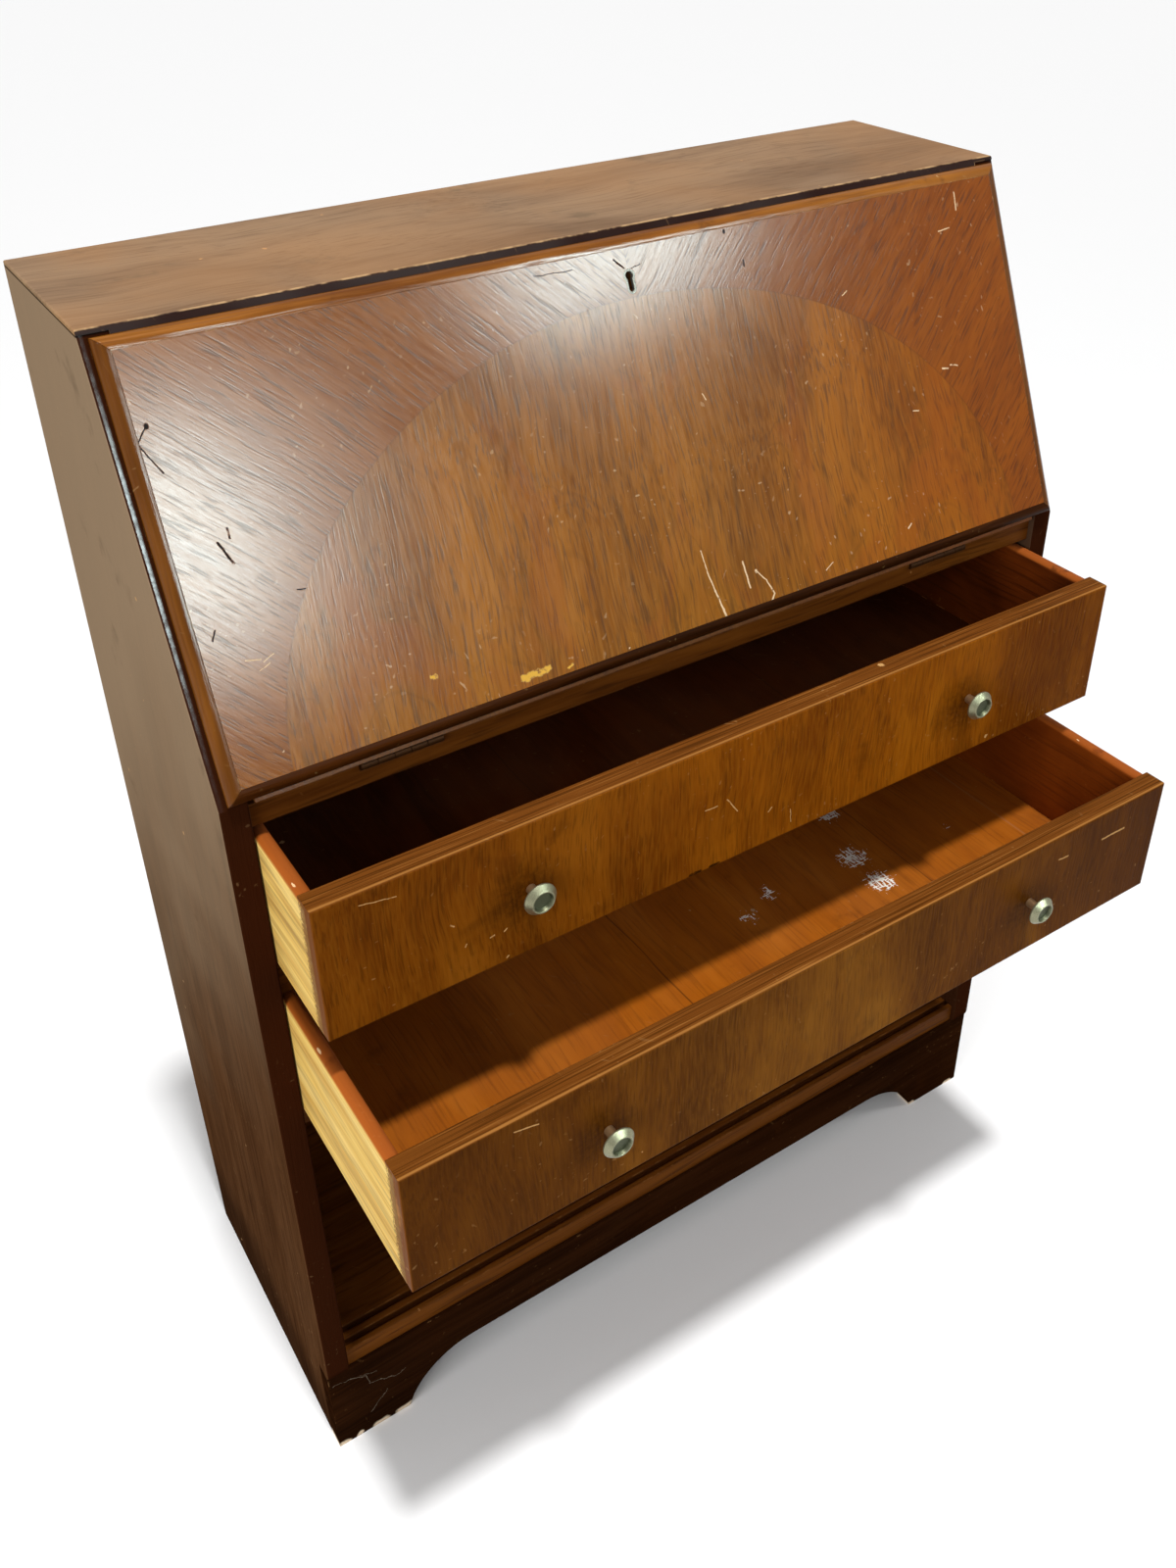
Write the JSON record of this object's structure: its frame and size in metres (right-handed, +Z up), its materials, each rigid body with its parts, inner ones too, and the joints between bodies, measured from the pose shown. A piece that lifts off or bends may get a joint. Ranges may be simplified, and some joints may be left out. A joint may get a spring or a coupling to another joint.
{
  "type": "drop-front writing bureau",
  "caption": "Slope-fronted wooden bureau: a hinged fall over a writing compartment, drawers with dished metal knobs below, an open cupboard and a plinth with bracket feet.",
  "frame": {"origin": "centre of the bounding box's bottom face, with the drawers drawn out as pictured, at floor level", "axes": "+Z up; +X to the right of a person sitting at the front; the front with the drawers faces -Y"},
  "size_m": [0.762, 0.4914, 1.008],
  "materials": {
    "case_wood": "dark brown stain, worn satin varnish",
    "top_wood": "faded dark stain, dull satin",
    "back_ply": "plain plywood",
    "inner_wood": "thin brown stain",
    "fall_veneer": "figured veneer, worn gloss varnish",
    "lipping_wood": "amber varnish, chipped",
    "drawer_veneer": "figured veneer, worn gloss varnish",
    "drawer_wood": "bare wood outside, thin stain inside",
    "knob_metal": "tarnished plated brass",
    "brass": "aged brass",
    "steel": "dull steel"
  },
  "bodies": {
    "carcass": {"left_side": "case_wood", "right_side": "case_wood", "top_board": "top_wood", "back_panel": "back_ply", "back_pins": "steel", "writing_bed": "inner_wood", "bed_rail": "case_wood", "drawer_rail": "case_wood", "upper_runners": "inner_wood", "drawer_stops": "inner_wood", "cupboard_ceiling": "case_wood", "bottom_board": "case_wood", "plinth_front": "case_wood", "plinth_blocks": "inner_wood", "pigeonhole_shelf": "inner_wood", "pigeonhole_end_left": "inner_wood", "pigeonhole_end_right": "inner_wood", "pigeonhole_divider_1": "inner_wood", "pigeonhole_divider_2": "inner_wood", "pigeonhole_divider_3": "inner_wood", "strike_plate": "brass", "strike_screws": "brass", "stay_studs": "brass", "hinge_bed_leaf_left": "brass", "hinge_bed_leaf_right": "brass", "hinge_pins": "brass", "hinge_bed_screws": "brass"},
    "fall": {"fall_panel": "fall_veneer", "fall_lipping_bottom": "lipping_wood", "fall_lipping_right": "lipping_wood", "fall_lipping_top": "lipping_wood", "fall_lipping_left": "lipping_wood", "hinge_fall_leaf_left": "brass", "hinge_fall_leaf_right": "brass", "hinge_fall_screws": "brass", "keyhole_escutcheon": "brass", "lock_case": "steel", "lock_screws": "steel", "stay_pivots": "brass"},
    "stay_left": {"stay_arm_left": "brass"},
    "stay_right": {"stay_arm_right": "brass"},
    "lock_bolt": {"lock_bolt": "steel"},
    "upper_drawer": {"upper_drawer_front": "drawer_veneer", "upper_drawer_left": "drawer_wood", "upper_drawer_right": "drawer_wood", "upper_drawer_back": "drawer_wood", "upper_drawer_bottom": "drawer_wood", "upper_knob_left": "knob_metal", "upper_knob_right": "knob_metal", "upper_knob_screws": "steel"},
    "lower_drawer": {"lower_drawer_front": "drawer_veneer", "lower_drawer_left": "drawer_wood", "lower_drawer_right": "drawer_wood", "lower_drawer_back": "drawer_wood", "lower_drawer_bottom": "drawer_wood", "lower_knob_left": "knob_metal", "lower_knob_right": "knob_metal", "lower_knob_screws": "steel"}
  },
  "joints": [
    {"name": "fall_hinge", "type": "hinge", "parent": "carcass", "child": "fall", "pos_m": [0, -0.04189, 0.71699], "axis": [1, 0, 0], "range_deg": [0, 113.15]},
    {"name": "stay_left_pivot", "type": "hinge", "parent": "fall", "child": "stay_left", "pos_m": [-0.361, -0.00257, 0.80894], "axis": [1, 0, 0], "range_deg": [-57, 0]},
    {"name": "stay_right_pivot", "type": "hinge", "parent": "fall", "child": "stay_right", "pos_m": [0.361, -0.00257, 0.80894], "axis": [1, 0, 0], "range_deg": [-57, 0]},
    {"name": "lock_bolt_slide", "type": "slide", "parent": "fall", "child": "lock_bolt", "axis": [0, 0.3931, 0.9195], "range_m": [0, 0.008]},
    {"name": "upper_drawer_slide", "type": "slide", "parent": "carcass", "child": "upper_drawer", "axis": [0, -1, 0], "range_m": [-0.0925, 0.1135]},
    {"name": "lower_drawer_slide", "type": "slide", "parent": "carcass", "child": "lower_drawer", "axis": [0, -1, 0], "range_m": [-0.186, 0.02]}
  ],
  "couplings": [
    {"joint": "stay_left_pivot", "follows": "fall_hinge", "ratio": -0.5},
    {"joint": "stay_right_pivot", "follows": "fall_hinge", "ratio": -0.5}
  ]
}
